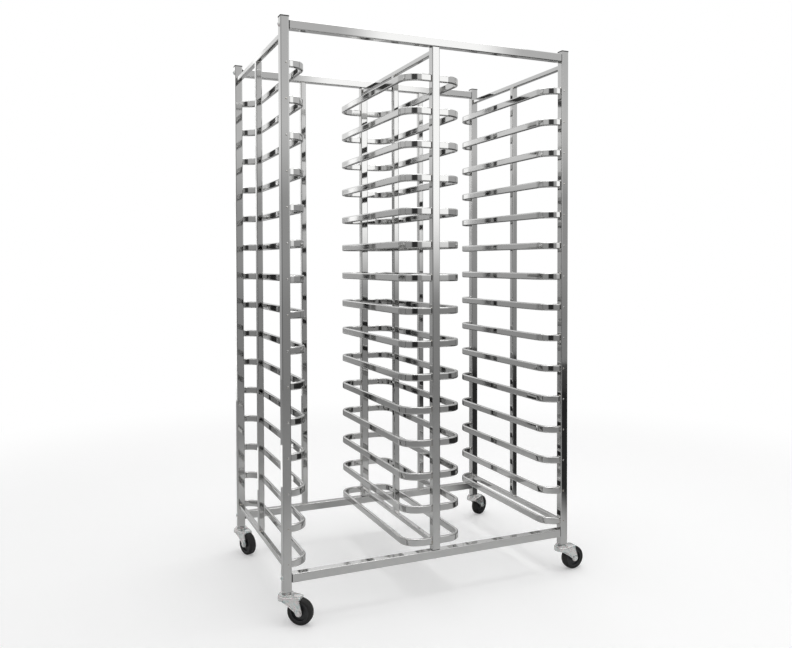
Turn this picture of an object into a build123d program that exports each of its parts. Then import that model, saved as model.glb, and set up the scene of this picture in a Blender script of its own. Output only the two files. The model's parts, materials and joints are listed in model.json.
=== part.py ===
from build123d import *
import os

# Double pan rack of square stainless tube on four swivel casters.
# The origin is on the floor under the middle of the rack, +Z is up and -Y is the open front.
# All sizes are in millimetres.

# Pan levels
LEVEL_COUNT = 15
LEVEL_PITCH = 100.0
PAN_OPENING = 298.0          # between the two slides that carry one pan

# Pan slide: a flat tube, bent round at both ends to meet the posts
SLIDE_HEIGHT = 22.5
SLIDE_THICKNESS = 10.0
SLIDE_WALL = 1.2
SLIDE_CORNER = 4.0           # outer radius of the tube's corners
SLIDE_BEND = 50.0            # radius of the end bends, on the middle line of the tube
OUTER_SLIDE_STUB = 1.0       # straight stretch between an outer post and the bend
CENTRE_SLIDE_STUB = 31.0     # the same at the centre posts
SLIDE_SETBACK = 6.5          # from the face of the post to the end of the slide

# Frame tubes
RACK_DEPTH = 621.0           # over the front and back posts
POST_TUBE = 25.0
CROSSBAR_TUBE = 25.0
RAIL_TUBE = 15.0             # side rails at the top and the bottom
UPRIGHT_TUBE = 19.0
STOP_TUBE = 19.0
TUBE_WALL = 1.5
TUBE_CORNER = 2.5

# Heights that are set by themselves
POST_LEG = 25.0              # post below the bottom crossbar
LOWEST_SLIDE_RISE = 27.0     # top of the bottom crossbar to the middle of the lowest slide
TOP_SLIDE_DROP = 93.0        # middle of the highest slide to the underside of the top crossbar
BOTTOM_RAIL_RISE = 13.0      # top of the bottom crossbar to the underside of the bottom rails
TOP_RAIL_DROP = 6.0          # top of the top rails to the underside of the top crossbar
POST_RISE = 8.0              # corner post above the top crossbar

# Post caps
CAP_THICKNESS = 3.0
CAP_OVERHANG = 1.0
CAP_INSERT = 12.0

# Threaded plugs, which also take the bolts
PLUG_FLANGE = 2.0
PLUG_FLANGE_INSET = 0.5      # flange inside the outline of its tube, on each side
PLUG_FLANGE_CORNER = 4.0
PLUG_INSERT = 18.0
PLUG_PLAY = 0.1              # between a plug and the inside of its tube, on each side

# Frame bolts with domed heads
BOLT_RADIUS = 4.0
BOLT_HEAD_RADIUS = 8.5
BOLT_HEAD_HEIGHT = 4.5
BOLT_SOCKET = 5.0            # across the flats
BOLT_SOCKET_DEPTH = 2.5
BOLT_GRIP = 14.0             # thread held by the plug
BOLT_HOLE_PLAY = 0.3         # on the radius, in the tube walls
THREAD_PLAY = 0.05           # on the radius, in threads and running fits

# Plug welds on the corner posts, one for each slide end
WELD_RADIUS = 2.75
WELD_HEIGHT = 0.8
WELD_OFFSET = 3.5            # from the middle of the post towards the slides

# Caster wheel
WHEEL_RADIUS = 37.5
TYRE_WIDTH = 24.0
TYRE_DEPTH = 9.5             # from the tread down to the hub
TYRE_SHOULDER = 5.0
HUB_WIDTH = 26.0
HUB_BOSS_RADIUS = 11.0
HUB_RIM_WIDTH = 21.0
HUB_RIM_DEPTH = 4.0
HUB_WEB = 10.0
HUB_PLAY = 0.3               # between the hub and each fork plate

# Caster fork
TRAIL = 42.0                 # from the swivel axis back to the axle
FORK_PLATE = 2.5
FORK_TIP_RADIUS = 13.0
FORK_FRONT = 19.0            # side plate in front of the swivel axis
FORK_BACK = 8.0              # side plate behind the axle, at the crown
FORK_SKIRT = 13.3            # depth of the rounded front
FORK_LIP = 4.0               # depth of the round lip elsewhere
FORK_RIM = 4.0               # width of the raised edge of a side plate
FORK_RIM_HEIGHT = 1.2
CROWN_RADIUS = 25.0
CROWN_WHEEL_GAP = 1.8        # between the tread and the underside of the crown

# Caster swivel and stem
BALL_RADIUS = 1.6
BALL_COUNT = 12
BALL_RING = 15.0
BALL_PLAY = 0.1              # above and below each ball
RACE_PLATE = 1.5
RACE_RADIUS = 21.0
RACE_GAP = 0.3               # between the race's rim and the crown
KINGPIN_RADIUS = 6.0
KINGPIN_HEAD_RADIUS = 10.0
KINGPIN_HEAD = 2.5
STEM_RADIUS = 6.0
STEM_LENGTH = 30.0
STEM_HEX = 19.0              # across the flats
STEM_HEX_HEIGHT = 3.5
SOCKET_FLANGE = 1.3
SOCKET_INSERT = 30.0

# Axle bolt and nut
AXLE_RADIUS = 4.0
AXLE_HEX = 13.0
AXLE_HEAD = 5.0
AXLE_NUT = 6.5
AXLE_THREAD_PAST_NUT = 1.5

# Which way each caster trails, in degrees about +Z from +X
CASTER_ANGLES = {"front_left": -40.0, "back_left": -70.0, "front_right": 2.0, "back_right": 27.0}

# Places across the rack
SLIDE_REACH = {
    "outer": OUTER_SLIDE_STUB + SLIDE_BEND + SLIDE_THICKNESS / 2,
    "centre": CENTRE_SLIDE_STUB + SLIDE_BEND + SLIDE_THICKNESS / 2,
}
FRAME_SPACING = POST_TUBE + sum(SLIDE_REACH.values()) + PAN_OPENING
FRAME_X = {"left": -FRAME_SPACING, "centre": 0.0, "right": FRAME_SPACING}
POST_Y = (RACK_DEPTH - POST_TUBE) / 2

# Heights, worked out upwards from the floor
CROWN_BOTTOM = 2 * WHEEL_RADIUS + CROWN_WHEEL_GAP
CROWN_TOP = CROWN_BOTTOM + FORK_PLATE
RACE_BOTTOM = CROWN_TOP + 2 * BALL_RADIUS + 2 * BALL_PLAY
RACE_TOP = RACE_BOTTOM + RACE_PLATE
HEX_TOP = RACE_TOP + STEM_HEX_HEIGHT
POST_FOOT = HEX_TOP + SOCKET_FLANGE
LOW_BAR_Z = POST_FOOT + POST_LEG + CROSSBAR_TUBE / 2
LOW_BAR_TOP = LOW_BAR_Z + CROSSBAR_TUBE / 2
LOWEST_SLIDE_Z = LOW_BAR_TOP + LOWEST_SLIDE_RISE
HIGHEST_SLIDE_Z = LOWEST_SLIDE_Z + (LEVEL_COUNT - 1) * LEVEL_PITCH
HIGH_BAR_BOTTOM = HIGHEST_SLIDE_Z + TOP_SLIDE_DROP
HIGH_BAR_Z = HIGH_BAR_BOTTOM + CROSSBAR_TUBE / 2
POST_HEAD = HIGH_BAR_BOTTOM + CROSSBAR_TUBE + POST_RISE

OUTWARD = {"left": -1, "right": 1}
SIDEWAYS = {"front": -1, "back": 1}
UP = Rot(0, 0, 0)
DOWN = Rot(180, 0, 0)
TO_RIGHT = Rot(0, 90, 0)
TO_LEFT = Rot(0, -90, 0)
TO_BACK = Rot(-90, 0, 0)


# Square tube and plugs


def tube(size, length):
    """A square tube that stands on the origin and runs up +Z."""
    hollow = size - 2 * TUBE_WALL
    section = RectangleRounded(size, size, TUBE_CORNER)
    section -= RectangleRounded(hollow, hollow, TUBE_CORNER - TUBE_WALL)
    return extrude(section, length)


def insert_block(size, length):
    """The square body of a plug that fits inside a tube of this outer size."""
    inside = size - 2 * TUBE_WALL - 2 * PLUG_PLAY
    return extrude(RectangleRounded(inside, inside, TUBE_CORNER - TUBE_WALL + PLUG_PLAY), length)


def threaded_plug(size):
    """A plug with its flange on the XY plane, which reaches up into a tube."""
    flange_size = size - 2 * PLUG_FLANGE_INSET
    plug = extrude(RectangleRounded(flange_size, flange_size, PLUG_FLANGE_CORNER), PLUG_FLANGE)
    plug += Pos(0, 0, PLUG_FLANGE) * insert_block(size, PLUG_INSERT)
    length = PLUG_FLANGE + PLUG_INSERT
    plug -= Pos(0, 0, length / 2) * Cylinder(BOLT_RADIUS + THREAD_PLAY, length)
    return plug


def hexagon(across_flats, height):
    """A hexagonal prism that stands on the origin."""
    return extrude(RegularPolygon(across_flats / 2, 6, major_radius=False), height)


def dome_bolt(through):
    """A bolt whose head sits below the XY plane and whose shank passes `through` and into a plug."""
    ball_radius = (BOLT_HEAD_RADIUS**2 + BOLT_HEAD_HEIGHT**2) / (2 * BOLT_HEAD_HEIGHT)
    ball = Pos(0, 0, ball_radius - BOLT_HEAD_HEIGHT) * Sphere(ball_radius)
    head = ball & (Pos(0, 0, -BOLT_HEAD_HEIGHT / 2) * Cylinder(BOLT_HEAD_RADIUS, BOLT_HEAD_HEIGHT))
    head -= Pos(0, 0, -BOLT_HEAD_HEIGHT) * hexagon(BOLT_SOCKET, BOLT_SOCKET_DEPTH)
    length = through + BOLT_GRIP
    return head + Pos(0, 0, length / 2) * Cylinder(BOLT_RADIUS, length)


def bolt_hole(length):
    """The cutter for a bolt hole through both walls of a tube, centred on the origin."""
    return Cylinder(BOLT_RADIUS + BOLT_HOLE_PLAY, length)


# Frames, crossbars and back stops


def side_frame(name):
    """The five tubes of one side frame, by node name."""
    x = FRAME_X[name]
    outer = name != "centre"
    foot = POST_FOOT if outer else LOW_BAR_TOP + PLUG_FLANGE
    head = POST_HEAD if outer else HIGH_BAR_BOTTOM - PLUG_FLANGE
    low_rail = LOW_BAR_TOP + BOTTOM_RAIL_RISE
    high_rail = HIGH_BAR_BOTTOM - TOP_RAIL_DROP - RAIL_TUBE
    pieces = {}
    for end, side in SIDEWAYS.items():
        post = Pos(x, side * POST_Y, foot) * tube(POST_TUBE, head - foot)
        if outer:
            for bar_z in (LOW_BAR_Z, HIGH_BAR_Z):
                post -= Pos(x, side * POST_Y, bar_z) * TO_RIGHT * bolt_hole(2 * POST_TUBE)
        pieces[f"{name}_{end}_post"] = post
    rail_length = RACK_DEPTH - 2 * POST_TUBE
    for place, rail_z in (("bottom", low_rail), ("top", high_rail)):
        rail = TO_BACK * tube(RAIL_TUBE, rail_length)
        pieces[f"{name}_{place}_rail"] = Pos(x, -rail_length / 2, rail_z + RAIL_TUBE / 2) * rail
    upright_foot = low_rail + RAIL_TUBE
    pieces[f"{name}_middle_upright"] = Pos(x, 0, upright_foot) * tube(UPRIGHT_TUBE, high_rail - upright_foot)
    return pieces


def crossbar(end, bar_z):
    """A crossbar between the corner posts, drilled in the middle for the centre frame's bolt."""
    length = 2 * FRAME_SPACING - POST_TUBE - 2 * PLUG_FLANGE
    bar = Pos(-length / 2, 0, 0) * TO_RIGHT * tube(CROSSBAR_TUBE, length)
    bar -= bolt_hole(2 * CROSSBAR_TUBE)
    return Pos(0, SIDEWAYS[end] * POST_Y, bar_z) * bar


def back_stop(bay):
    """The slim upright in the middle of one bay at the back."""
    x = OUTWARD[bay] * FRAME_SPACING / 2
    return Pos(x, POST_Y, LOW_BAR_TOP) * tube(STOP_TUBE, HIGH_BAR_BOTTOM - LOW_BAR_TOP)


def corner_posts():
    """The middle of each corner post, with the side of the rack it is on and its end."""
    return [(bay, end, FRAME_X[bay], SIDEWAYS[end] * POST_Y) for end in SIDEWAYS for bay in OUTWARD]


def crossbar_joints():
    """Where each crossbar end meets its post, with the turn that points into the crossbar."""
    joints = []
    for bay, end, x, y in corner_posts():
        turn = TO_RIGHT if bay == "left" else TO_LEFT
        inner_x = x - OUTWARD[bay] * POST_TUBE / 2
        outer_x = x + OUTWARD[bay] * POST_TUBE / 2
        for bar_z in (LOW_BAR_Z, HIGH_BAR_Z):
            joints.append((Pos(outer_x, y, bar_z) * turn, Pos(inner_x, y, bar_z) * turn))
    return joints


def centre_joints():
    """Where each centre post meets a crossbar, with the turn that points into the post."""
    joints = []
    for side in SIDEWAYS.values():
        low_face = Pos(0, side * POST_Y, LOW_BAR_TOP) * UP
        high_face = Pos(0, side * POST_Y, HIGH_BAR_BOTTOM) * DOWN
        low_start = Pos(0, side * POST_Y, LOW_BAR_TOP - CROSSBAR_TUBE) * UP
        high_start = Pos(0, side * POST_Y, HIGH_BAR_BOTTOM + CROSSBAR_TUBE) * DOWN
        joints += [(low_start, low_face), (high_start, high_face)]
    return joints


def threaded_plugs():
    plugs = [face * threaded_plug(CROSSBAR_TUBE) for _, face in crossbar_joints()]
    plugs += [face * threaded_plug(POST_TUBE) for _, face in centre_joints()]
    return plugs


def crossbar_bolts():
    return [start * dome_bolt(POST_TUBE) for start, _ in crossbar_joints()]


def centre_frame_bolts():
    return [start * dome_bolt(CROSSBAR_TUBE) for start, _ in centre_joints()]


def post_caps():
    size = POST_TUBE + 2 * CAP_OVERHANG
    lid = extrude(RectangleRounded(size, size, TUBE_CORNER + CAP_OVERHANG), CAP_THICKNESS)
    lid = chamfer(lid.faces().sort_by(Axis.Z)[-1].edges(), CAP_THICKNESS / 4)
    cap = lid + Pos(0, 0, -CAP_INSERT) * insert_block(POST_TUBE, CAP_INSERT)
    return [Pos(x, y, POST_HEAD) * cap for _, _, x, y in corner_posts()]


def slide_plug_welds():
    """A small flat weld spot on the front or back face of each corner post at each level."""
    spots = []
    for bay, end, x, y in corner_posts():
        face_y = y + SIDEWAYS[end] * (POST_TUBE + WELD_HEIGHT) / 2
        for level in range(LEVEL_COUNT):
            place = Pos(x - OUTWARD[bay] * WELD_OFFSET, face_y, LOWEST_SLIDE_Z + level * LEVEL_PITCH)
            spots.append(place * TO_BACK * Cylinder(WELD_RADIUS, WELD_HEIGHT))
    return spots


# Pan slides


def pan_slide(reach):
    """One slide on the +X side of a frame at x = 0, reaching this far from the side of its posts."""
    start_x = POST_TUBE / 2
    middle_x = start_x + reach - SLIDE_THICKNESS / 2
    leg_y = RACK_DEPTH / 2 - SLIDE_SETBACK - SLIDE_THICKNESS / 2
    corners = [(start_x, -leg_y), (middle_x, -leg_y), (middle_x, leg_y), (start_x, leg_y)]
    path = FilletPolyline(*corners, radius=SLIDE_BEND)

    start = Plane(origin=(start_x, -leg_y, 0), x_dir=(0, -1, 0), z_dir=(1, 0, 0))
    outline = RectangleRounded(SLIDE_THICKNESS, SLIDE_HEIGHT, SLIDE_CORNER)
    hollow_thickness = SLIDE_THICKNESS - 2 * SLIDE_WALL
    hollow_height = SLIDE_HEIGHT - 2 * SLIDE_WALL
    hollow = RectangleRounded(hollow_thickness, hollow_height, SLIDE_CORNER - SLIDE_WALL)
    return sweep(start * outline, path=path) - sweep(start * hollow, path=path)


def slides_on_level(level, outer_slide, centre_slide):
    """The four slides of one level, level 0 being the lowest."""
    lift = Pos(0, 0, LOWEST_SLIDE_Z + level * LEVEL_PITCH)
    turned = Rot(0, 0, 180)
    return [
        lift * Pos(FRAME_X["left"], 0, 0) * outer_slide,
        lift * turned * centre_slide,
        lift * centre_slide,
        lift * Pos(FRAME_X["right"], 0, 0) * turned * outer_slide,
    ]


# Casters: each is made with its swivel axis on +Z, standing on the floor and trailing along +X


def caster_socket():
    """The threaded plug in the foot of a corner post."""
    flange_size = POST_TUBE - 2 * PLUG_FLANGE_INSET
    socket = extrude(RectangleRounded(flange_size, flange_size, PLUG_FLANGE_CORNER), SOCKET_FLANGE)
    socket += Pos(0, 0, SOCKET_FLANGE) * insert_block(POST_TUBE, SOCKET_INSERT)
    length = SOCKET_FLANGE + SOCKET_INSERT
    socket -= Pos(0, 0, length / 2) * Cylinder(STEM_RADIUS + THREAD_PLAY, length)
    return Pos(0, 0, HEX_TOP) * socket


def caster_stem():
    """Stem, hexagon, upper race plate and kingpin, all one turned and pressed piece."""
    race = Pos(0, 0, RACE_BOTTOM + RACE_PLATE / 2) * Cylinder(RACE_RADIUS, RACE_PLATE)
    rim_bottom = CROWN_TOP + RACE_GAP
    rim_height = RACE_BOTTOM - rim_bottom
    rim = Cylinder(RACE_RADIUS, rim_height) - Cylinder(RACE_RADIUS - RACE_PLATE, rim_height)
    race += Pos(0, 0, rim_bottom + rim_height / 2) * rim
    race = fillet(race.faces().sort_by(Axis.Z)[-1].edges(), RACE_PLATE * 0.9)
    stem = race + Pos(0, 0, RACE_TOP) * hexagon(STEM_HEX, STEM_HEX_HEIGHT)
    stem += Pos(0, 0, HEX_TOP + STEM_LENGTH / 2) * Cylinder(STEM_RADIUS, STEM_LENGTH)
    head_top = CROWN_BOTTOM - RACE_GAP
    stem += Pos(0, 0, (head_top + RACE_BOTTOM) / 2) * Cylinder(KINGPIN_RADIUS, RACE_BOTTOM - head_top)
    stem += Pos(0, 0, head_top - KINGPIN_HEAD / 2) * Cylinder(KINGPIN_HEAD_RADIUS, KINGPIN_HEAD)
    return stem


def caster_ball_ring():
    ball_z = CROWN_TOP + BALL_PLAY + BALL_RADIUS
    return [
        Rot(0, 0, 360 * turn / BALL_COUNT) * Pos(BALL_RING, 0, ball_z) * Sphere(BALL_RADIUS)
        for turn in range(BALL_COUNT)
    ]


def fork_inner():
    """From the middle of the fork to the inner face of a side plate."""
    return HUB_WIDTH / 2 + HUB_PLAY


def fork_side_plate():
    """One side plate seen from the side, as a sketch whose Y is the height above the floor."""
    top_width = FORK_FRONT + TRAIL + FORK_BACK
    top = Pos((TRAIL + FORK_BACK - FORK_FRONT) / 2, CROWN_TOP - FORK_SKIRT / 2)
    shoulder = top * Rectangle(top_width, FORK_SKIRT)
    tip = Pos(TRAIL, WHEEL_RADIUS) * Circle(FORK_TIP_RADIUS)
    return make_hull(shoulder.edges() + tip.edges())


def caster_fork():
    """Crown, rounded front and two side plates with raised edges, pressed from one sheet."""
    inner = fork_inner()
    outer = inner + FORK_PLATE
    crown_back = Pos(TRAIL / 2 + FORK_BACK / 2, 0) * Rectangle(TRAIL + FORK_BACK, 2 * outer)
    crown = extrude(make_hull(Circle(CROWN_RADIUS).edges() + crown_back.edges()), FORK_PLATE)
    fork = Pos(0, 0, CROWN_BOTTOM) * crown

    ring = Circle(CROWN_RADIUS) - Circle(CROWN_RADIUS - FORK_PLATE)
    front_half = ring & (Pos(-CROWN_RADIUS, 0) * Rectangle(2 * CROWN_RADIUS, 2 * CROWN_RADIUS))
    fork += Pos(0, 0, CROWN_TOP - FORK_SKIRT) * extrude(front_half, FORK_SKIRT - FORK_PLATE)
    fork += Pos(0, 0, CROWN_BOTTOM - FORK_LIP) * extrude(ring, FORK_LIP)

    outline = fork_side_plate()
    raised = outline - offset(outline, -FORK_RIM)
    upright = Plane(origin=(0, 0, 0), x_dir=(1, 0, 0), z_dir=(0, -1, 0))
    plate = extrude(upright.offset(inner) * outline, FORK_PLATE)
    plate += extrude(upright.offset(outer) * raised, FORK_RIM_HEIGHT)
    fork += plate
    fork += mirror(plate, about=Plane.XZ)

    hole = KINGPIN_RADIUS + THREAD_PLAY
    fork -= Pos(0, 0, CROWN_BOTTOM + FORK_PLATE / 2) * Cylinder(hole, 2 * FORK_PLATE)
    axle_cut = Cylinder(AXLE_RADIUS + THREAD_PLAY, 4 * outer)
    return fork - Pos(TRAIL, 0, WHEEL_RADIUS) * TO_BACK * axle_cut


def caster_axle():
    """The axle bolt, head at the -Y side, and its nut."""
    grip = 2 * (fork_inner() + FORK_PLATE)
    shank_length = grip + AXLE_NUT + AXLE_THREAD_PAST_NUT
    bolt = Pos(0, 0, shank_length / 2) * Cylinder(AXLE_RADIUS, shank_length)
    bolt += Pos(0, 0, -AXLE_HEAD) * hexagon(AXLE_HEX, AXLE_HEAD)
    nut = hexagon(AXLE_HEX, AXLE_NUT) - Cylinder(AXLE_RADIUS + THREAD_PLAY, 4 * AXLE_NUT)
    seat = Pos(TRAIL, -grip / 2, WHEEL_RADIUS) * TO_BACK
    return [seat * bolt, seat * Pos(0, 0, grip) * nut]


def wheel_ring(outer_radius, inner_radius, width):
    """A flat ring around the wheel's axis, which lies on Z here."""
    return Cylinder(outer_radius, width) - Cylinder(inner_radius, 2 * width)


def caster_hub():
    rim_radius = WHEEL_RADIUS - TYRE_DEPTH
    bore = AXLE_RADIUS + THREAD_PLAY
    hub = wheel_ring(HUB_BOSS_RADIUS, bore, HUB_WIDTH)
    hub += wheel_ring(rim_radius, bore, HUB_WEB)
    hub += wheel_ring(rim_radius, rim_radius - HUB_RIM_DEPTH, HUB_RIM_WIDTH)
    return Pos(TRAIL, 0, WHEEL_RADIUS) * TO_BACK * hub


def caster_tyre():
    tyre = wheel_ring(WHEEL_RADIUS, WHEEL_RADIUS - TYRE_DEPTH, TYRE_WIDTH)
    tread_edges = tyre.edges().group_by(SortBy.LENGTH)[-1]
    tyre = fillet(tread_edges, TYRE_SHOULDER)
    return Pos(TRAIL, 0, WHEEL_RADIUS) * TO_BACK * tyre


# Writing the nodes


def solids_of(shapes):
    """The separate solids of a piece or of a list of pieces."""
    if not isinstance(shapes, list):
        shapes = [shapes]
    return [solid for shape in shapes for solid in shape.solids()]


def all_nodes():
    nodes = {}
    for name in FRAME_X:
        nodes.update(side_frame(name))
    for end in SIDEWAYS:
        nodes[f"{end}_bottom_crossbar"] = crossbar(end, LOW_BAR_Z)
        nodes[f"{end}_top_crossbar"] = crossbar(end, HIGH_BAR_Z)
    for bay in OUTWARD:
        nodes[f"{bay}_back_stop"] = back_stop(bay)
    nodes["post_caps"] = post_caps()
    nodes["threaded_plugs"] = threaded_plugs()
    nodes["crossbar_bolts"] = crossbar_bolts()
    nodes["centre_frame_bolts"] = centre_frame_bolts()
    nodes["slide_plug_welds"] = slide_plug_welds()

    outer_slide = pan_slide(SLIDE_REACH["outer"])
    centre_slide = pan_slide(SLIDE_REACH["centre"])
    for level in range(LEVEL_COUNT):
        nodes[f"pan_slides_level_{level + 1:02d}"] = slides_on_level(level, outer_slide, centre_slide)

    swivels = {
        f"{end}_{bay}": Pos(x, y, 0) * Rot(0, 0, CASTER_ANGLES[f"{end}_{bay}"])
        for bay, end, x, y in corner_posts()
    }
    posts = [Pos(x, y, 0) for _, _, x, y in corner_posts()]
    nodes["caster_sockets"] = [post * caster_socket() for post in posts]
    nodes["caster_stems"] = [post * caster_stem() for post in posts]
    nodes["caster_balls"] = [post * ball for post in posts for ball in caster_ball_ring()]
    for corner, swivel in swivels.items():
        nodes[f"{corner}_fork"] = swivel * caster_fork()
        nodes[f"{corner}_axle"] = [swivel * piece for piece in caster_axle()]
        nodes[f"{corner}_hub"] = swivel * caster_hub()
        nodes[f"{corner}_tyre"] = swivel * caster_tyre()
    return nodes


os.makedirs("parts", exist_ok=True)
for node, shapes in all_nodes().items():
    export_step(Compound(solids_of(shapes)), f"parts/{node}.step")
print(f"frame spacing {FRAME_SPACING:.1f}, top of the caps {POST_HEAD + CAP_THICKNESS:.1f}")
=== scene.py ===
# %% [markdown]
# # A double pan rack in polished stainless steel
# This script dresses a finished construction model of a bakery rack: two bays of bent flat tubes that
# carry trays, on a frame of square tube, on four casters. The construction model comes in as a fixed
# frame, so nothing here moves or resizes it. What is added is what the eye reads as real: the polish on
# the tubes, the weld beads that hold them together, the zinc on the casters, and a studio to reflect.
# Everything is in metres, with the floor at Z = 0 and the open front towards -Y.

# %% Load the frame
import json
import math
import random

import bpy
import bmesh
from mathutils import Matrix, Vector, geometry


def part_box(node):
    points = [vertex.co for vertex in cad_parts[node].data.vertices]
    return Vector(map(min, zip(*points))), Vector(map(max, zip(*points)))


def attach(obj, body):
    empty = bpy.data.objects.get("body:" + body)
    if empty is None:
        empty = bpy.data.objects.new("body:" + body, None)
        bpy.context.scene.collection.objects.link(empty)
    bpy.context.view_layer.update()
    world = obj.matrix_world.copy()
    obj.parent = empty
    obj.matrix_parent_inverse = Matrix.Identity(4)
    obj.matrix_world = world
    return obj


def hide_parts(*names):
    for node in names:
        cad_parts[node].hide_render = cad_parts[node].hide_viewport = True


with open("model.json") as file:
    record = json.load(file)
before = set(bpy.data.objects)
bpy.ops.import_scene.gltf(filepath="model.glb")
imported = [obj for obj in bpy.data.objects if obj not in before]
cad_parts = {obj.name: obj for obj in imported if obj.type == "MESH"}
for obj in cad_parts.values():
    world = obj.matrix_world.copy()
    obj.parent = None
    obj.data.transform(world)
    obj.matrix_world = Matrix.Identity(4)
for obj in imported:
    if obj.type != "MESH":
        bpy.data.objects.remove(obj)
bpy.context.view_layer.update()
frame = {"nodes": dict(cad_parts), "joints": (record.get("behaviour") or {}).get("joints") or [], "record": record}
nodes = frame["nodes"]
scene = bpy.context.scene
scene.view_settings.view_transform = "Standard"
MM = 0.001
print("pieces in the frame:", len(nodes))

# %% [markdown]
# ## Helpers
# Colours are written the way a paint chart gives them, as sRGB hex values. Blender shades with linear
# light, so one function turns the first into the second. Shader nodes are added by one other function,
# which takes the node's settings and what goes into its sockets, so every material below reads as a
# list of the nodes it is made of. A colour ramp's stops aren't sockets, so a third function fills them in.

# %% Colour and node helpers
def linear(hex_colour):
    """An sRGB hex colour as the linear RGBA that Blender's sockets want."""
    channels = [int(hex_colour[i:i + 2], 16) / 255 for i in (1, 3, 5)]
    curve = [c / 12.92 if c <= 0.04045 else ((c + 0.055) / 1.055) ** 2.4 for c in channels]
    return (*curve, 1.0)


def add_node(tree, kind, inputs=None, **settings):
    """Adds a shader node. An input is given a value, or the output socket that it is linked to."""
    node = tree.nodes.new("ShaderNode" + kind)
    for name, value in settings.items():
        setattr(node, name, value)
    for socket, value in (inputs or {}).items():
        if isinstance(value, bpy.types.NodeSocket):
            tree.links.new(value, node.inputs[socket])
        else:
            node.inputs[socket].default_value = value
    return node


def empty_material(name):
    """A material with nothing in it yet, and its node tree."""
    material = bpy.data.materials.new(name)
    material.use_nodes = True
    material.node_tree.nodes.clear()
    return material, material.node_tree


def colour_ramp(tree, value, stops):
    """A colour ramp through (position, colour) pairs. A colour is a grey value or an sRGB hex."""
    node = add_node(tree, "ValToRGB", {"Fac": value})
    while len(node.color_ramp.elements) < len(stops):
        node.color_ramp.elements.new(0.5)
    for element, (position, colour) in zip(node.color_ramp.elements, stops):
        element.position = position
        element.color = linear(colour) if isinstance(colour, str) else (colour, colour, colour, 1)
    return node.outputs["Color"]


print("mid grey #808080 is", round(linear("#808080")[0], 3), "in linear light")

# %% [markdown]
# ## The camera
# The picture of this rack was taken from the left of the rack, at chest height, with
# a lens a little wider than normal. The uprights stay nearly parallel, because the lens was shifted down
# and hardly tilted, so the shift is part of the view.

# %% Camera at the photograph's viewing angle
IMAGE_WIDTH = 792
IMAGE_HEIGHT = 648
FOCAL_PIXELS = 776.7
OPTICAL_AXIS = (396.3, 280.6)  # the pixel that the lens points at, from the top left
SENSOR = 36.0
CAMERA_PLACE = (-1.0423, -2.4073, 1.0102)
CAMERA_TURN = -23.472      # degrees, as are the tilt and the roll
CAMERA_TILT = 90 - 1.282
CAMERA_ROLL = -0.138

camera_data = bpy.data.cameras.new("camera")
camera_data.sensor_width = SENSOR
camera_data.lens = SENSOR * FOCAL_PIXELS / IMAGE_WIDTH
camera_data.shift_x = (IMAGE_WIDTH / 2 - OPTICAL_AXIS[0]) / IMAGE_WIDTH
camera_data.shift_y = (OPTICAL_AXIS[1] - IMAGE_HEIGHT / 2) / IMAGE_WIDTH
camera = bpy.data.objects.new("camera", camera_data)
scene.collection.objects.link(camera)
turned = Matrix.Rotation(math.radians(CAMERA_TURN), 4, "Z")
tilted = Matrix.Rotation(math.radians(CAMERA_TILT), 4, "X")
rolled = Matrix.Rotation(math.radians(CAMERA_ROLL), 4, "Z")
camera.matrix_world = Matrix.Translation(CAMERA_PLACE) @ turned @ tilted @ rolled
scene.camera = camera
print("lens", round(camera_data.lens, 2), "mm, shift", round(camera_data.shift_y, 4))

# %% [markdown]
# ## The studio
# Polished metal has hardly a look of its own: it shows the room. The room here is a plain photographer's
# one. The rack stands on a wide roll of white paper, in front of white, with dark floor to the right of
# the paper. Around it are grey walls, lighter towards the ceiling and dark round the camera. There is a
# softbox at the front right and a large one overhead, and narrow white and dark boards. The walls and
# boards are cards that only glossy rays meet, so they colour the reflections and leave the white
# background and the light alone.

# %% World: white to look at, even light on the object
AMBIENT = 0.62
world = bpy.data.worlds.new("white_room")
scene.world = world
world.use_nodes = True
tree = world.node_tree
tree.nodes.clear()
ray = add_node(tree, "LightPath")
seen = add_node(tree, "Math", {0: ray.outputs["Is Camera Ray"], 1: ray.outputs["Is Glossy Ray"]},
                operation="ADD")
seen = add_node(tree, "Math", {0: seen.outputs[0], 1: ray.outputs["Is Transmission Ray"]}, operation="ADD",
                use_clamp=True)
level = add_node(tree, "MapRange", {"Value": seen.outputs[0], "To Min": AMBIENT, "To Max": 1.0})
background = add_node(tree, "Background", {"Color": (1, 1, 1, 1), "Strength": level.outputs[0]})
add_node(tree, "OutputWorld", {"Surface": background.outputs[0]})
print("the world lights at", AMBIENT, "and shows as white")


# %% Helpers for studio objects
def stage_object(name, mesh, material, card=True):
    """Puts a studio object in the scene. A card is met by glossy rays only."""
    thing = bpy.data.objects.new(name, mesh)
    scene.collection.objects.link(thing)
    mesh.materials.append(material)
    if card:
        thing.visible_camera = False
        thing.visible_diffuse = False
        thing.visible_transmission = False
        thing.visible_shadow = False
    return thing


def flat_quad(name, corners):
    """A mesh of one four-cornered face."""
    mesh = bpy.data.meshes.new(name)
    mesh.from_pydata([Vector(c) for c in corners], [], [(0, 1, 2, 3)])
    return mesh


def upright_quad(name, left, right, bottom, top):
    """A mesh of one upright face between two points of the floor."""
    return flat_quad(name, [(*left, bottom), (*right, bottom), (*right, top), (*left, top)])


def even_light(name, value):
    """A material of one even brightness."""
    material, tree = empty_material(name)
    light = add_node(tree, "Emission", {"Color": (1, 1, 1, 1), "Strength": value})
    add_node(tree, "OutputMaterial", {"Surface": light.outputs[0]})
    return material


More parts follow.
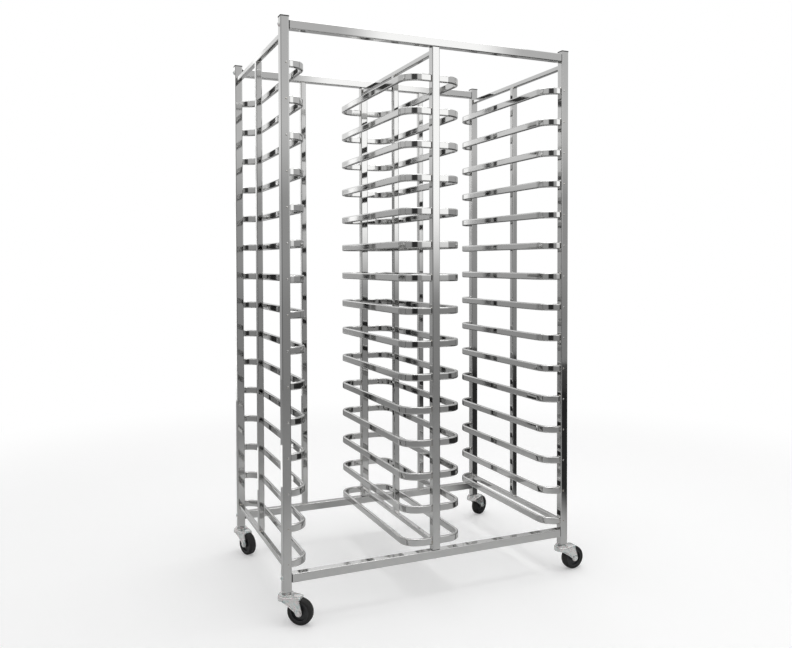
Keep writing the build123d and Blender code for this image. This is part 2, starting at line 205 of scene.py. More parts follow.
# %% Paper floor that stays white and keeps the shadow
FLOOR_HALF = 9.0
PAPER = "#E8E8E8"
DARK_FLOOR = "#4A4A4A"                       # only mirrors see it, to the right of the paper
PAPER_EDGE = ((0.85, -0.80), (1.84, -3.60))  # two points of the paper's right edge
EDGE_BLUR = 0.16
FLOOR_GLOW = 0.27        # added for the camera, so that the paper is white where nothing shades it
FADE = (1.3, 3.2)        # from here to here the paper turns into the white background
DIMMING = ((0.6, 0.08), (1.5, 0.47))  # distance, and the share of the paper's light that mirrors lose: painted shade for the overhead light falling off away from the rack

floor_material, tree = empty_material("white_paper")
ray = add_node(tree, "LightPath")
mirrored = ray.outputs["Is Glossy Ray"]
place = add_node(tree, "NewGeometry").outputs["Position"]
edge_start, edge_end = (Vector((*point, 0)) for point in PAPER_EDGE)
outward = (edge_end - edge_start).normalized().cross(Vector((0, 0, -1)))
past = add_node(tree, "VectorMath", {0: place, 1: outward}, operation="DOT_PRODUCT").outputs["Value"]
edge = edge_start.dot(outward)
off_paper = add_node(tree, "MapRange", {"Value": past, "From Min": edge - EDGE_BLUR / 2,
                                        "From Max": edge + EDGE_BLUR / 2},
                     interpolation_type="SMOOTHSTEP")
dark = add_node(tree, "Math", {0: off_paper.outputs[0], 1: mirrored}, operation="MULTIPLY")
tone = add_node(tree, "MixRGB", {"Fac": dark.outputs[0], "Color1": linear(PAPER),
                                 "Color2": linear(DARK_FLOOR)})
away = add_node(tree, "VectorMath", {0: place}, operation="LENGTH")
# Painted shade in mirrors: the paper's colour darkens with distance from the rack, standing in for the overhead
# light falling off
dimmed = add_node(tree, "MapRange", {"Value": away.outputs["Value"],
                                     "From Min": DIMMING[0][0], "From Max": DIMMING[1][0],
                                     "To Min": DIMMING[0][1], "To Max": DIMMING[1][1]})
dimmed = add_node(tree, "Math", {0: mirrored, 1: dimmed.outputs[0]}, operation="MULTIPLY")
tone = add_node(tree, "MixRGB", {"Fac": dimmed.outputs[0], "Color1": tone.outputs[0],
                                 "Color2": (0, 0, 0, 1)})
paper = add_node(tree, "BsdfDiffuse", {"Color": tone.outputs[0]})
glow = add_node(tree, "Math", {0: ray.outputs["Is Camera Ray"], 1: FLOOR_GLOW}, operation="MULTIPLY")
glow = add_node(tree, "Emission", {"Color": (1, 1, 1, 1), "Strength": glow.outputs[0]})
near = add_node(tree, "AddShader", {0: paper.outputs[0], 1: glow.outputs[0]})
fade = add_node(tree, "MapRange", {"Value": away.outputs["Value"],
                                   "From Min": FADE[0], "From Max": FADE[1]},
                interpolation_type="SMOOTHSTEP")
fade = add_node(tree, "Math", {0: fade.outputs[0], 1: ray.outputs["Is Camera Ray"]}, operation="MULTIPLY")
white = add_node(tree, "Emission", {"Color": (1, 1, 1, 1), "Strength": 1.0})
both = add_node(tree, "MixShader", {0: fade.outputs[0], 1: near.outputs[0], 2: white.outputs[0]})
add_node(tree, "OutputMaterial", {"Surface": both.outputs[0]})
h = FLOOR_HALF
floor = flat_quad("floor", [(-h, -h, 0), (h, -h, 0), (h, h, 0), (-h, h, 0)])
stage_object("floor", floor, floor_material, card=False)
print("floor", 2 * FLOOR_HALF, "m across")

# %% Grey walls and ceiling for the reflections
WALL_RADIUS = 4.5
WALL_TOP = 3.6
WALL_FOOT = -0.2
WALL_TONES = ((0.0, 0.29), (0.8, 0.32), (1.2, 0.40), (1.75, 0.42),   # height above its foot, and grey
              (2.1, 0.63), (2.35, 0.74), (2.9, 0.68), (3.8, 0.66))
CEILING_LIGHT = 0.85
BACK_WALL = (3.4, 4.1)   # from here to here along Y the wall gets lighter
BACK_LIFT = 0.35         # by this much
UNLIT_WAY = Vector((-1.04, -2.41, 0)).normalized()  # the studio is dark round the camera
UNLIT_ANGLES = (21, 13)  # degrees from there at which the dark begins, and is deepest
UNLIT_SHARE = 0.9        # of the wall's light is missing there
WALL_SIDES = 96

wall_material, tree = empty_material("grey_wall")
position = add_node(tree, "NewGeometry").outputs["Position"]
place = add_node(tree, "SeparateXYZ", {0: position})
height = add_node(tree, "MapRange", {"Value": place.outputs["Z"],
                                     "From Min": WALL_FOOT, "From Max": WALL_TOP})
wall_height = WALL_TOP - WALL_FOOT
tones = colour_ramp(tree, height.outputs[0], [(above / wall_height, grey) for above, grey in WALL_TONES])
lift = add_node(tree, "MapRange", {"Value": place.outputs["Y"],
                                   "From Min": BACK_WALL[0], "From Max": BACK_WALL[1],
                                   "To Min": 1.0, "To Max": 1.0 + BACK_LIFT})
aside = add_node(tree, "VectorMath", {0: position, 1: (1, 1, 0)}, operation="MULTIPLY")
aside = add_node(tree, "VectorMath", {0: aside.outputs[0]}, operation="NORMALIZE")
aside = add_node(tree, "VectorMath", {0: aside.outputs[0], 1: UNLIT_WAY}, operation="DOT_PRODUCT")
begins, deepest = (math.cos(math.radians(angle)) for angle in UNLIT_ANGLES)
unlit = add_node(tree, "MapRange", {"Value": aside.outputs["Value"],
                                    "From Min": begins, "From Max": deepest,
                                    "To Min": 1.0, "To Max": 1.0 - UNLIT_SHARE})
strength = add_node(tree, "Math", {0: lift.outputs[0], 1: unlit.outputs[0]}, operation="MULTIPLY")
light = add_node(tree, "Emission", {"Color": tones, "Strength": strength.outputs[0]})
add_node(tree, "OutputMaterial", {"Surface": light.outputs[0]})

angles = [math.tau * i / WALL_SIDES for i in range(WALL_SIDES)]
ring = [(WALL_RADIUS * math.cos(angle), WALL_RADIUS * math.sin(angle)) for angle in angles]
wall_mesh = bpy.data.meshes.new("grey_wall")
wall_mesh.from_pydata([(x, y, z) for z in (WALL_FOOT, WALL_TOP) for x, y in ring], [],
                      [(i, (i + 1) % WALL_SIDES, WALL_SIDES + (i + 1) % WALL_SIDES, WALL_SIDES + i)
                       for i in range(WALL_SIDES)])
stage_object("grey_wall", wall_mesh, wall_material)
r = WALL_RADIUS
ceiling = flat_quad("ceiling", [(-r, -r, WALL_TOP), (r, -r, WALL_TOP), (r, r, WALL_TOP), (-r, r, WALL_TOP)])
stage_object("ceiling", ceiling, even_light("pale_ceiling", CEILING_LIGHT))
print("walls", WALL_RADIUS, "m away")

# %% Dark and white boards that the tubes mirror
BOARDS = {   # two points of the floor, bottom, top and brightness
    "dark_stand": ((-1.18, 2.73), (-1.13, 2.73), 0.0, 2.3, 0.0),
    "low_reflector": ((-0.95, 1.0), (-0.70, 1.0), 0.0, 0.19, 1.4),
    "tall_board": ((-1.13, 3.3), (-1.03, 3.3), 0.0, 3.4, 1.5),
    "high_board": ((-1.30, 3.3), (-1.23, 3.3), 1.15, 3.4, 1.5),
    "dark_skirting": ((2.2, -3.6), (3.2, -2.8), 0.0, 0.22, 0.06)}
for name, (left, right, bottom, top, brightness) in BOARDS.items():
    stage_object(name, upright_quad(name, left, right, bottom, top), even_light(name, brightness))
print("boards", len(BOARDS))


# %% The front softbox as it is mirrored, with soft edges
SCREEN_SIDES = ((0.62, 1.0), (1.66, 2.06))     # it fades in and out over these stretches of X
SCREEN_FOOT = (0.68, 1.5)                      # and in over this stretch of height
SCREEN_TOP = 2.85
SCREEN_Y = -3.02
SCREEN_LIGHT = 1.5

screen_material, tree = empty_material("softbox_cloth")
place = add_node(tree, "SeparateXYZ", {0: add_node(tree, "NewGeometry").outputs["Position"]})
fades = [("X", *SCREEN_SIDES[0]), ("X", *reversed(SCREEN_SIDES[1])), ("Z", *SCREEN_FOOT)]
strength = 1.0
for axis, dark_at, bright_at in fades:
    low, high = sorted((dark_at, bright_at))
    fade = add_node(tree, "MapRange", {"Value": place.outputs[axis], "From Min": low, "From Max": high,
                                       "To Min": float(low == bright_at),
                                       "To Max": float(high == bright_at)},
                    interpolation_type="SMOOTHSTEP")
    strength = add_node(tree, "Math", {0: strength, 1: fade.outputs[0]}, operation="MULTIPLY").outputs[0]
light = add_node(tree, "Emission", {"Color": (1, 1, 1, 1), "Strength": SCREEN_LIGHT})
clear = add_node(tree, "BsdfTransparent")
cloth = add_node(tree, "MixShader", {0: strength, 1: clear.outputs[0], 2: light.outputs[0]})
add_node(tree, "OutputMaterial", {"Surface": cloth.outputs[0]})
left, right = (SCREEN_SIDES[1][1], SCREEN_Y), (SCREEN_SIDES[0][0], SCREEN_Y)
screen = upright_quad("softbox_cloth", left, right, SCREEN_FOOT[0], SCREEN_TOP)
stage_object("softbox_cloth", screen, screen_material)
print("softbox", round(SCREEN_SIDES[1][1] - SCREEN_SIDES[0][0], 2), "m wide")


# %% Softboxes
def softbox(name, centre, aim, width, height, radiance):
    """An area lamp whose face has this brightness."""
    lamp_data = bpy.data.lights.new(name, "AREA")
    lamp_data.shape = "RECTANGLE"
    lamp_data.size = width
    lamp_data.size_y = height
    lamp_data.energy = radiance * math.pi * width * height
    lamp = bpy.data.objects.new(name, lamp_data)
    scene.collection.objects.link(lamp)
    lamp.location = centre
    lamp.rotation_euler = (Vector(aim) - Vector(centre)).to_track_quat("-Z", "Y").to_euler()
    lamp.visible_camera = False
    return lamp


front_softbox = softbox("front_softbox", centre=(1.32, -3.0, 2.0), aim=(1.32, 0.0, 2.0),
                        width=1.0, height=1.5, radiance=1.5)
front_softbox.visible_glossy = False   # mirrors see its cloth instead
softbox("overhead_softbox", centre=(0.3, 0.1, 3.3), aim=(0.2, 0.1, 0.0),
        width=2.4, height=2.0, radiance=2.4)

# %% [markdown]
# ## Polished stainless tube
# The rack is welded from stainless tube that was polished along its length on a belt and then buffed.
# That leaves a bright, slightly soft mirror, with faint lines along the tube where the belt ran. The
# wall is thin, so it isn't quite flat either, and reflections waver down its length. A metal gets its
# colour from the base colour alone. The lines and the wavering are noise, stretched along the tube, in
# the roughness and in a very low bump. There are three versions, for tubes that run along X, Y and Z.

# %% Stainless steel with its grain along one axis
STEEL = linear("#CDCDCC")
BELT_LINE = 2.5 * MM      # real belt lines are 0.1 mm apart, too fine to see, so these are coarser
BELT_LENGTH = 160 * MM
WAVE = 45 * MM
WAVE_HEIGHT = 0.03 * MM
BELT_DEPTH = 0.002 * MM
HANDLING = 90 * MM
POLISH = (0.025, 0.06)    # the least and the most roughness of the belt lines
HANDLED = 0.05            # added to it where hands have dulled the polish
HEAT = 6 * MM             # size of the patches of heat tint on a weld
WELD_TINTS = ((0.45, "#D6D6D5"), (0.8, "#CFC3AE"))
WELD_ROUGHNESS = (0.12, 0.26)


def stainless(name, grain):
    """Belt-polished stainless steel whose lines run along the axis `grain`: 0 for X, 1 for Y, 2 for Z."""
    material, tree = empty_material(name)
    place = add_node(tree, "TexCoord").outputs["Object"]
    across = [1 / BELT_LINE] * 3
    across[grain] = 1 / BELT_LENGTH
    stretched = add_node(tree, "Mapping", {"Vector": place, "Scale": across})
    lines = add_node(tree, "TexNoise", {"Vector": stretched.outputs[0], "Scale": 1.0, "Detail": 3.0,
                                        "Roughness": 0.6})
    handled = add_node(tree, "TexNoise", {"Vector": place, "Scale": 1 / HANDLING, "Detail": 4.0,
                                          "Roughness": 0.6})
    fine = add_node(tree, "MapRange", {"Value": lines.outputs["Fac"], "From Min": 0.3, "From Max": 0.7,
                                       "To Min": POLISH[0], "To Max": POLISH[1]})
    worn = add_node(tree, "MapRange", {"Value": handled.outputs["Fac"], "From Min": 0.45, "From Max": 0.75,
                                       "To Min": 0.0, "To Max": HANDLED})
    rough = add_node(tree, "Math", {0: fine.outputs[0], 1: worn.outputs[0]}, operation="ADD")
    wave = add_node(tree, "TexNoise", {"Vector": place, "Scale": 1 / WAVE, "Detail": 1.0})
    dents = add_node(tree, "Bump", {"Height": wave.outputs["Fac"], "Strength": 1.0, "Distance": WAVE_HEIGHT})
    belt = add_node(tree, "Bump", {"Height": lines.outputs["Fac"], "Strength": 1.0, "Distance": BELT_DEPTH,
                                   "Normal": dents.outputs[0]})
    metal = add_node(tree, "BsdfPrincipled", {
        "Base Color": STEEL, "Metallic": 1.0, "Roughness": rough.outputs[0], "Normal": belt.outputs[0]})
    add_node(tree, "OutputMaterial", {"Surface": metal.outputs[0]})
    return material


def weld_metal():
    """A TIG bead as it froze: bright, rougher than the tube, with a straw-coloured trace of heat."""
    material, tree = empty_material("tig_weld_stainless")
    place = add_node(tree, "TexCoord").outputs["Object"]
    heat = add_node(tree, "TexNoise", {"Vector": place, "Scale": 1 / HEAT, "Detail": 3.0})
    tint = colour_ramp(tree, heat.outputs["Fac"], WELD_TINTS)
    rough = add_node(tree, "MapRange", {"Value": heat.outputs["Fac"], "From Min": 0.3, "From Max": 0.7,
                                        "To Min": WELD_ROUGHNESS[0], "To Max": WELD_ROUGHNESS[1]})
    metal = add_node(tree, "BsdfPrincipled", {"Base Color": tint, "Metallic": 1.0,
                                              "Roughness": rough.outputs[0]})
    add_node(tree, "OutputMaterial", {"Surface": metal.outputs[0]})
    return material


stainless_x = stainless("belt_polished_stainless_x", 0)
stainless_y = stainless("belt_polished_stainless_y", 1)
stainless_z = stainless("belt_polished_stainless_z", 2)
weld_steel = weld_metal()
print("belt lines every", BELT_LINE / MM, "mm")

# %% [markdown]
# ## Zinc, plastic and rubber
# The caster forks, stems and bolts are steel with a bright zinc plating, blue passivated, which is
# faintly blue-green in places and faintly pink in others, with a soft, slightly cloudy gloss. The caps
# and threaded plugs are moulded black plastic with a fine spark-eroded texture, and the wheel hubs are
# moulded grey plastic. The tyres are moulded rubber. A little dust lies on all that is moulded.

# %% Zinc-plated steel
ZINC_TINTS = ((0.3, "#D2E2E3"), (0.5, "#ECECEA"), (0.7, "#EADFE1"))
ZINC_METAL = 0.8          # the clear film scatters the rest of the light like paint
ZINC_ROUGHNESS = (0.18, 0.32)
FILM = 9 * MM             # size of the patches of tint
CLOUD = 12 * MM           # of the clouds in the gloss
GRIT = 2 * MM             # and of the grit
GRIT_DEPTH = 0.01 * MM


def zinc_plate():
    """Bright zinc under its thin clear film, whose tint changes with its thickness."""
    material, tree = empty_material("blue_zinc_plated_steel")
    place = add_node(tree, "TexCoord").outputs["Object"]
    cloud = add_node(tree, "TexNoise", {"Vector": place, "Scale": 1 / CLOUD, "Detail": 5.0,
                                        "Roughness": 0.65})
    film = add_node(tree, "TexNoise", {"Vector": place, "Scale": 1 / FILM, "Detail": 2.0})
    tint = colour_ramp(tree, film.outputs["Fac"], ZINC_TINTS)
    rough = add_node(tree, "MapRange", {"Value": cloud.outputs["Fac"], "From Min": 0.3, "From Max": 0.7,
                                        "To Min": ZINC_ROUGHNESS[0], "To Max": ZINC_ROUGHNESS[1]})
    grit = add_node(tree, "TexNoise", {"Vector": place, "Scale": 1 / GRIT, "Detail": 2.0})
    bump = add_node(tree, "Bump", {"Height": grit.outputs["Fac"], "Distance": GRIT_DEPTH})
    metal = add_node(tree, "BsdfPrincipled", {"Base Color": tint, "Metallic": ZINC_METAL,
                                              "Roughness": rough.outputs[0], "Normal": bump.outputs[0]})
    add_node(tree, "OutputMaterial", {"Surface": metal.outputs[0]})
    return material


zinc = zinc_plate()


# %% Moulded plastics and rubber
DUST_SPREAD = 25          # patches of dust are this many times the grain
DUST_CHANGES = 0.08       # how far they move the roughness, up or down


def moulded(name, dark, light, grain, roughness, depth):
    """A moulded surface: a fine texture of this grain and depth, with a little dust in it."""
    material, tree = empty_material(name)
    place = add_node(tree, "TexCoord").outputs["Object"]
    texture = add_node(tree, "TexNoise", {"Vector": place, "Scale": 1 / grain, "Detail": 3.0})
    dust = add_node(tree, "TexNoise", {"Vector": place, "Scale": 1 / (DUST_SPREAD * grain), "Detail": 5.0,
                                       "Roughness": 0.7})
    colour = colour_ramp(tree, dust.outputs["Fac"], ((0.42, dark), (0.75, light)))
    rough = add_node(tree, "MapRange", {"Value": dust.outputs["Fac"], "From Min": 0.3, "From Max": 0.7,
                                        "To Min": roughness - DUST_CHANGES,
                                        "To Max": roughness + DUST_CHANGES})
    bump = add_node(tree, "Bump", {"Height": texture.outputs["Fac"], "Distance": depth})
    surface = add_node(tree, "BsdfPrincipled", {"Base Color": colour, "Roughness": rough.outputs[0],
                                                "Normal": bump.outputs[0]})
    add_node(tree, "OutputMaterial", {"Surface": surface.outputs[0]})
    return material


black_plastic = moulded("moulded_black_nylon", "#1B1B1C", "#2B2B2C", 0.8 * MM, 0.48, 0.03 * MM)
grey_plastic = moulded("moulded_dark_grey_polypropylene", "#2A2B2D", "#3A3B3D", 1.0 * MM, 0.45, 0.02 * MM)
rubber = moulded("moulded_black_rubber", "#161616", "#2A2927", 1.2 * MM, 0.62, 0.05 * MM)

# %% Give every piece of the frame its finish
FINISH = {"zinc_plated_steel": zinc, "black_plastic": black_plastic, "grey_plastic": grey_plastic,
          "black_rubber": rubber}
slots = {part["node"]: part["material_slot"] for part in frame["record"]["subparts"]}


def steel_for(name):
    """The stainless finish whose grain runs along this tube."""
    if "crossbar" in name:
        return stainless_x
    if "rail" in name or "slides" in name:
        return stainless_y
    return stainless_z


for name, thing in nodes.items():
    material = FINISH.get(slots[name]) or steel_for(name)
    if not thing.material_slots:
        thing.data.materials.append(material)
    for slot in thing.material_slots:
        slot.material = material
print("finished", len(nodes), "pieces")

# %% [markdown]
# ## Weld beads
# The rack has no brackets. Every tube is TIG welded to the next one, which leaves a slim bead round the
# joint, made of the overlapping scales of one small melt pool after another. The beads are tubes of mesh
# that follow the outline of the joint, swell a little at each scale, and are half sunk in both tubes.
# A bump in the material would leave the corner between the tubes sharp, so they are modelled. The
# slides are also plug welded through small holes in the corner posts, which leaves a low round dome on
# the outer face of the post for each slide end.

# %% Mesh helpers
def skin(rings, closed=True):
    """Points and faces through rings of equally many points, and from the last to the first if closed."""
    count = len(rings[0])
    faces = []
    for i in range(len(rings) - (not closed)):
        this, following = i * count, (i + 1) % len(rings) * count
        for j in range(count):
            k = (j + 1) % count
            faces.append((this + j, this + k, following + k, following + j))
    return [point for ring in rings for point in ring], faces


def capped(rings):
    """An open skin whose two ends are closed with one face each."""
    points, faces = skin(rings, closed=False)
    count = len(rings[0])
    return points, faces + [tuple(reversed(range(count))), tuple(range(len(points) - count, len(points)))]


def make_piece(name, skins, material, body, sharp=45, turn=Matrix.Identity(4)):
    """One piece from several skins, in the given material. It rides on a body."""
    points, faces = [], []
    for skin_points, skin_faces in skins:
        faces += [tuple(len(points) + i for i in face) for face in skin_faces]
        points += [turn @ Vector(point) for point in skin_points]
    mesh = bpy.data.meshes.new(name)
    mesh.from_pydata(points, [], faces)
    tidy = bmesh.new()
    tidy.from_mesh(mesh)
    bmesh.ops.recalc_face_normals(tidy, faces=tidy.faces)
    tidy.to_mesh(mesh)
    tidy.free()
    mesh.materials.append(material)
    mesh.shade_smooth()
    mesh.set_sharp_from_angle(angle=math.radians(sharp))
    piece = bpy.data.objects.new(name, mesh)
    scene.collection.objects.link(piece)
    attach(piece, body)
    return piece


def outline(width, height, radius, spacing):
    """Points round a rectangle with rounded corners, each with its way out, about this far apart."""
    path = []
    for i, (side_x, side_y) in enumerate(((1, 1), (-1, 1), (-1, -1), (1, -1))):
        centre = Vector((side_x * (width / 2 - radius), side_y * (height / 2 - radius)))
        steps = max(2, round(radius * math.pi / 2 / spacing))
        for step in range(steps):
            angle = math.pi / 2 * (i + step / steps)
            out = Vector((math.cos(angle), math.sin(angle)))
            path.append((centre + radius * out, out))
        out = Vector((math.cos(math.pi / 2 * (i + 1)), math.sin(math.pi / 2 * (i + 1))))
        length = (height if i % 2 else width) - 2 * radius
        steps = max(1, round(length / spacing))
        along = Vector((-out.y, out.x)) * length
        path += [(centre + radius * out + along * step / steps, out) for step in range(steps)]
    return path


print("points round a slide end:", len(outline(10, 22.5, 4, 1)))

# %% Sizes of the joints, read from the frame
SLIDE_THICKNESS = 10 * MM
SLIDE_CORNER = 4 * MM
TUBE_CORNER = 2.5 * MM
FRAMES = ("left", "centre", "right")
ENDS = ("front", "back")
posts = {(side, end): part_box(f"{side}_{end}_post") for side in FRAMES for end in ENDS}
levels = [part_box(name) for name in sorted(nodes) if name.startswith("pan_slides")]
slide_height = levels[0][1].z - levels[0][0].z
level_heights = [(low.z + high.z) / 2 for low, high in levels]
slide_end_y = levels[0][1].y - SLIDE_THICKNESS / 2
print(len(levels), "levels, slides", round(slide_height / MM, 1), "mm high")

# %% Beads round the tubes' ends
BEAD_RADIUS = 1.3 * MM
SCALE_SPACING = 2.4 * MM   # real scales are about 1 mm apart, and are drawn coarser so that they show
SCALE_SWELL = 0.16
SCALE_SCATTER = 0.08
BEAD_SIDES = 6
welder = random.Random(5)


def weld_bead(centre, across, up, width, height, corner):
    """A bead round a tube end of this outline, which stands on a face spanned by `across` and `up`."""
    away = across.cross(up)
    rings = []
    for i, (point, out) in enumerate(outline(width, height, corner, SCALE_SPACING / 2)):
        scatter = welder.uniform(-SCALE_SCATTER, SCALE_SCATTER)
        radius = BEAD_RADIUS * (1 + SCALE_SWELL * (-1) ** i + scatter)
        place = centre + across * point.x + up * point.y
        way = across * out.x + up * out.y
        angles = [math.tau * side / BEAD_SIDES for side in range(BEAD_SIDES)]
        rings.append([place + radius * (math.cos(angle) * way + math.sin(angle) * away)
                      for angle in angles])
    return skin(rings)


X, Y, Z = Vector((1, 0, 0)), Vector((0, 1, 0)), Vector((0, 0, 1))
slide_beads = []
for (side, end), (low, high) in posts.items():
    y = math.copysign(slide_end_y, low.y)
    faces = {"left": [high.x], "centre": [low.x, high.x], "right": [low.x]}[side]
    slide_beads += [weld_bead(Vector((x, y, z)), Y, Z, SLIDE_THICKNESS, slide_height, SLIDE_CORNER)
                    for x in faces for z in level_heights]


def standing_tube_beads(name, width=None):
    """The beads at both ends of a standing tube. `width` is that of a slimmer tube that it meets."""
    low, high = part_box(name)
    middle, size = (low + high) / 2, high - low
    return [weld_bead(Vector((middle.x, middle.y, z)), X, Y, width or size.x, size.y, TUBE_CORNER)
            for z in (low.z, high.z)]


tube_beads = []
for side in FRAMES:
    for place in ("top", "bottom"):
        low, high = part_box(f"{side}_{place}_rail")
        middle, size = (low + high) / 2, high - low
        tube_beads += [weld_bead(Vector((middle.x, y, middle.z)), X, Z, size.x, size.z, TUBE_CORNER)
                       for y in (low.y, high.y)]
    tube_beads += standing_tube_beads(f"{side}_middle_upright", width=size.x)
for bay in ("left", "right"):
    tube_beads += standing_tube_beads(f"{bay}_back_stop")

make_piece("slide_weld_beads", slide_beads, weld_steel, "root")
make_piece("frame_weld_beads", tube_beads, weld_steel, "root")
print(len(slide_beads), "beads on the slides and", len(tube_beads), "on the frame")

# %% Domed plug welds on the corner posts
PLUG_WELD_RADIUS = 2.9 * MM
PLUG_WELD_HEIGHT = 0.8 * MM
PLUG_WELD_OFFSET = 3.5 * MM   # from the middle of the post towards the slides
PLUG_WELD_PROFILE = ((1.0, -0.3), (1.0, 0.15), (0.9, 0.5), (0.76, 0.62),   # shares of radius and height
                     (0.62, 0.84), (0.42, 0.9), (0.2, 1.0))
SPOT_SIDES = 16


def plug_weld(centre, side):
    """A low dome with a step where the melt pool froze, on a face that looks towards `side` times Y."""
    angles = [math.tau * i / SPOT_SIDES for i in range(SPOT_SIDES)]
    rings = []
    for share, height in PLUG_WELD_PROFILE:
        radius, rise = PLUG_WELD_RADIUS * share, side * height * PLUG_WELD_HEIGHT
        rings.append([centre + Vector((radius * math.cos(angle), rise, radius * math.sin(angle)))
                      for angle in angles])
    return capped(rings)


spots = []
for (side, end), (low, high) in posts.items():
    if side != "centre":
        x = (low.x + high.x) / 2 - math.copysign(PLUG_WELD_OFFSET, low.x)
        y = low.y if end == "front" else high.y
        spots += [plug_weld(Vector((x, y, z)), math.copysign(1, y)) for z in level_heights]
plug_welds = make_piece("plug_weld_spots", spots, weld_steel, "root")
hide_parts("slide_plug_welds")
print(len(spots), "plug welds")

# %% [markdown]
# ## Caster forks
# A caster fork starts as one flat blank of steel. A press folds its two legs down and draws a rounded
# edge all round, so each leg has a raised rim that stiffens it and a slightly hollow front edge, and the
# crown has a deeper skirt in front. The shape is built from rings: the outline of the leg or the
# crown, drawn in step by step while it rises over the rim. All four forks share the one shape, which is
# turned to the way that its own caster trails.

# %% The outlines of the fork, in millimetres with the swivel axis at X = 0
TRAIL = 42
AXLE_HEIGHT = 37.5
CROWN_TOP = round(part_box("front_left_fork")[1].z / MM, 3)
CROWN_RADIUS = 25
CROWN_CORNER = 6
CROWN_BACK = TRAIL + 5
LEG_TOP = CROWN_TOP - 0.8  # hidden in the crown
LEG_FRONT = -19
LEG_BACK = TRAIL + 1       # at the top, from where the rear edge slants back to the tip
LEG_SHOULDER = 4           # the slant begins this far under the top of the crown
LEG_TIP = 10.5
TIP_ANGLES = range(180, 373, 12)   # degrees round the tip
HOLLOW_STEPS = 12
CIRCLE_SIDES = 48
SKIRT = 10.5
LEG_HOLLOW = (7, 56)       # the control point of the slightly hollow front edge
POINT_SPACING = 1.3


def even_points(corners, spacing):
    """Points evenly spaced along a closed run of straight lines, with the way out at each."""
    closed = corners + corners[:1]
    lengths = [(b - a).length for a, b in zip(closed, closed[1:])]
    count = round(sum(lengths) / spacing)
    points = []
    for i in range(count):
        left = sum(lengths) * i / count
        for a, b, length in zip(closed, closed[1:], lengths):
            if left <= length:
                break
            left -= length
        points.append(a.lerp(b, left / length))
    ways = [points[(i + 1) % count] - points[i - 1] for i in range(count)]
    return [(point, Vector((way.y, -way.x)).normalized()) for point, way in zip(points, ways)]


def leg_outline():
    """The leg seen from the side: X along the trail and Y upwards, anticlockwise."""
    start, control = Vector((LEG_FRONT, CROWN_TOP - SKIRT)), Vector(LEG_HOLLOW)
    end = Vector((TRAIL - LEG_TIP, AXLE_HEIGHT))
    shares = [i / HOLLOW_STEPS for i in range(HOLLOW_STEPS)]
    hollow = [(1 - t) ** 2 * start + 2 * t * (1 - t) * control + t * t * end for t in shares]
    axle = Vector((TRAIL, AXLE_HEIGHT))
    angles = [math.radians(degrees) for degrees in TIP_ANGLES]
    tip = [axle + LEG_TIP * Vector((math.cos(angle), math.sin(angle))) for angle in angles]
    rear = [Vector((LEG_BACK, CROWN_TOP - LEG_SHOULDER)), Vector((LEG_BACK, LEG_TOP))]
    return [Vector((LEG_FRONT, LEG_TOP))] + hollow + tip + rear


def crown_outline(half_width):
    """The crown from above: a round front and a back with rounded corners, anticlockwise."""
    back, side = CROWN_BACK - CROWN_CORNER, half_width - CROWN_CORNER
    circles = [((0, 0), CROWN_RADIUS), ((back, -side), CROWN_CORNER), ((back, side), CROWN_CORNER)]
    angles = [math.tau * i / CIRCLE_SIDES for i in range(CIRCLE_SIDES)]
    points = [Vector(centre) + radius * Vector((math.cos(angle), math.sin(angle)))
              for centre, radius in circles for angle in angles]
    return [points[i] for i in geometry.convex_hull_2d(points)]


print("crown", CROWN_TOP, "mm above the floor")

# %% The legs and the crown
LEG_INNER = 13.3           # from the middle of the fork to the inner face of a leg
SHEET = 2.5
RIM_RISE = 1.7
RIM_FADE = (CROWN_TOP - 6, CROWN_TOP - 16)   # the rim rises between these heights
LEG_SECTION = ((0.0, 0.0, 0), (0.0, 0.7, 0), (0.35, 0.9, 0.75), (1.1, 1.0, 1), (2.3, 1.0, 1),
               (3.2, 1.0, 0.45), (4.0, 1.0, 0.0), (5.2, 1.0, 0.0))   # inset, shares of sheet and rim
LIP = 4.0
SKIRT_ENDS = 2             # the lip deepens towards the front from this X on
SKIRT_DEEPENS = 12         # over this length
KINGPIN_HOLE = 6.05
CROWN_PROUD = 0.3          # the crown's edge stands out this far over the legs


def fork_leg(side):
    """One leg, with a ring for each row of LEG_SECTION."""
    path = even_points(leg_outline(), POINT_SPACING)
    rings = []
    for inset, through, rise in LEG_SECTION:
        ring = []
        for point, out in path:
            risen = min(1, max(0, (RIM_FADE[0] - point.y) / (RIM_FADE[0] - RIM_FADE[1])))
            rim = RIM_RISE * rise * risen
            place = point - inset * out
            ring.append((place.x, side * (LEG_INNER + SHEET * through + rim), place.y))
        rings.append(ring)
    return capped(rings)


def fork_crown():
    """The crown: rings from the kingpin's hole under the plate, round its drawn edge and over the top."""
    path = even_points(crown_outline(LEG_INNER + SHEET + CROWN_PROUD), POINT_SPACING)
    bottom = CROWN_TOP - SHEET

    def ring(inset, height=None, below=None):
        points = []
        for point, out in path:
            skirt = LIP + (SKIRT - LIP) * min(1, max(0, (SKIRT_ENDS - point.x) / SKIRT_DEEPENS))
            place = point - inset * out
            points.append((place.x, place.y, bottom - skirt + below if height is None else height))
        return points

    def hole(height):
        return [(*(KINGPIN_HOLE * point.normalized()), height) for point, _ in path]

    under = [hole(bottom), ring(SHEET, bottom), ring(SHEET, below=0.4)]
    edge = [ring(SHEET - 0.5, below=0), ring(0.5, below=0), ring(0, below=0.6), ring(0, CROWN_TOP - 2.4)]
    over = [ring(0.3, CROWN_TOP - 1.3), ring(1.0, CROWN_TOP - 0.5), ring(2.2, CROWN_TOP), hole(CROWN_TOP)]
    return skin(under + edge + over)


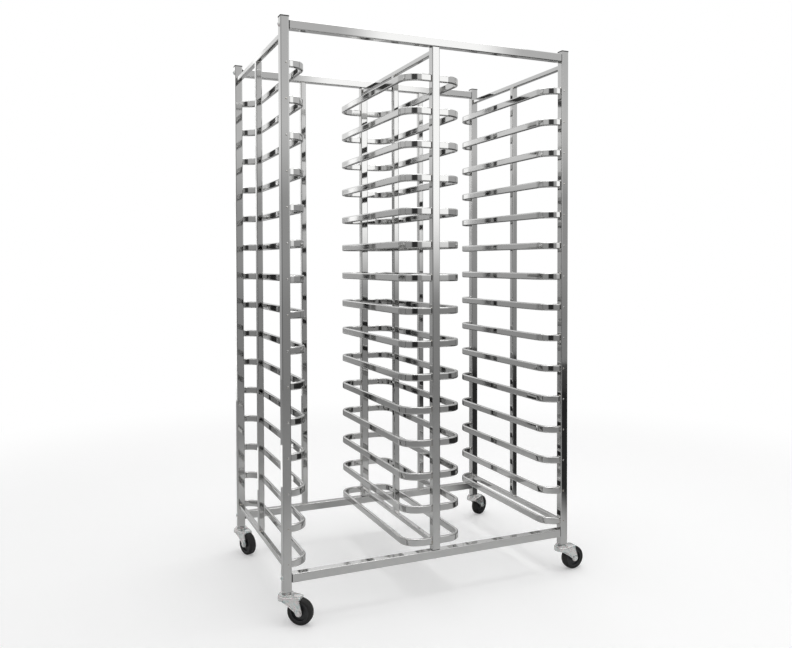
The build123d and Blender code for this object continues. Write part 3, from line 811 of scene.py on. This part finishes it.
pivots = {joint["name"]: Vector(joint["pos_m"]) for joint in frame["joints"]}
casters = [name.removesuffix("_swivel_turn") for name in pivots if name.endswith("_swivel_turn")]


def caster_place(corner, origin):
    """Where a shape in millimetres goes: to `origin`, turned to the way that this caster trails."""
    swivel, axle = pivots[f"{corner}_swivel_turn"], pivots[f"{corner}_wheel_spin"]
    heading = math.atan2(axle.y - swivel.y, axle.x - swivel.x)
    return Matrix.Translation(origin) @ Matrix.Rotation(heading, 4, "Z") @ Matrix.Scale(MM, 4)


for corner in casters:
    foot = Vector((*pivots[f"{corner}_swivel_turn"].xy, 0))
    fork = make_piece(f"{corner}_pressed_fork", [fork_leg(-1), fork_leg(1), fork_crown()], zinc,
                      f"{corner}_swivel", turn=caster_place(corner, foot))
    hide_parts(f"{corner}_fork")
print(len(casters), "forks of", len(fork.data.polygons), "faces")

# %% [markdown]
# ## Tyres
# The tyres are solid rubber, moulded in two halves round the hub. The side walls have a shallow groove
# where the mould's ring closed, and the tread is slightly crowned with round shoulders. A tyre is the
# same all the way round, so it is turned from one profile.

# %% Tyres turned from a profile
TYRE_PROFILE = (   # radius and half width, in millimetres
    (28.0, 11.0), (28.6, 11.9), (31.6, 12.0), (32.0, 11.45), (32.7, 11.45), (33.1, 12.0),
    (34.0, 11.6), (35.3, 10.8), (36.4, 9.4), (37.0, 7.6), (37.35, 4.6), (37.5, 1.6))
TYRE_SIDES = 72


def tyre_skin():
    """The profile and its mirror image, turned round the axle."""
    section = [*TYRE_PROFILE, *((radius, -width) for radius, width in reversed(TYRE_PROFILE))]
    rings = []
    for i in range(TYRE_SIDES):
        angle = math.tau * i / TYRE_SIDES
        rings.append([(radius * math.cos(angle), width, radius * math.sin(angle))
                      for radius, width in section])
    return skin(rings)


for corner in casters:
    tyre = make_piece(f"{corner}_moulded_tyre", [tyre_skin()], rubber, f"{corner}_wheel",
                      sharp=60, turn=caster_place(corner, pivots[f"{corner}_wheel_spin"]))
    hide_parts(f"{corner}_tyre")
print("tyres of", len(tyre.data.polygons), "faces")
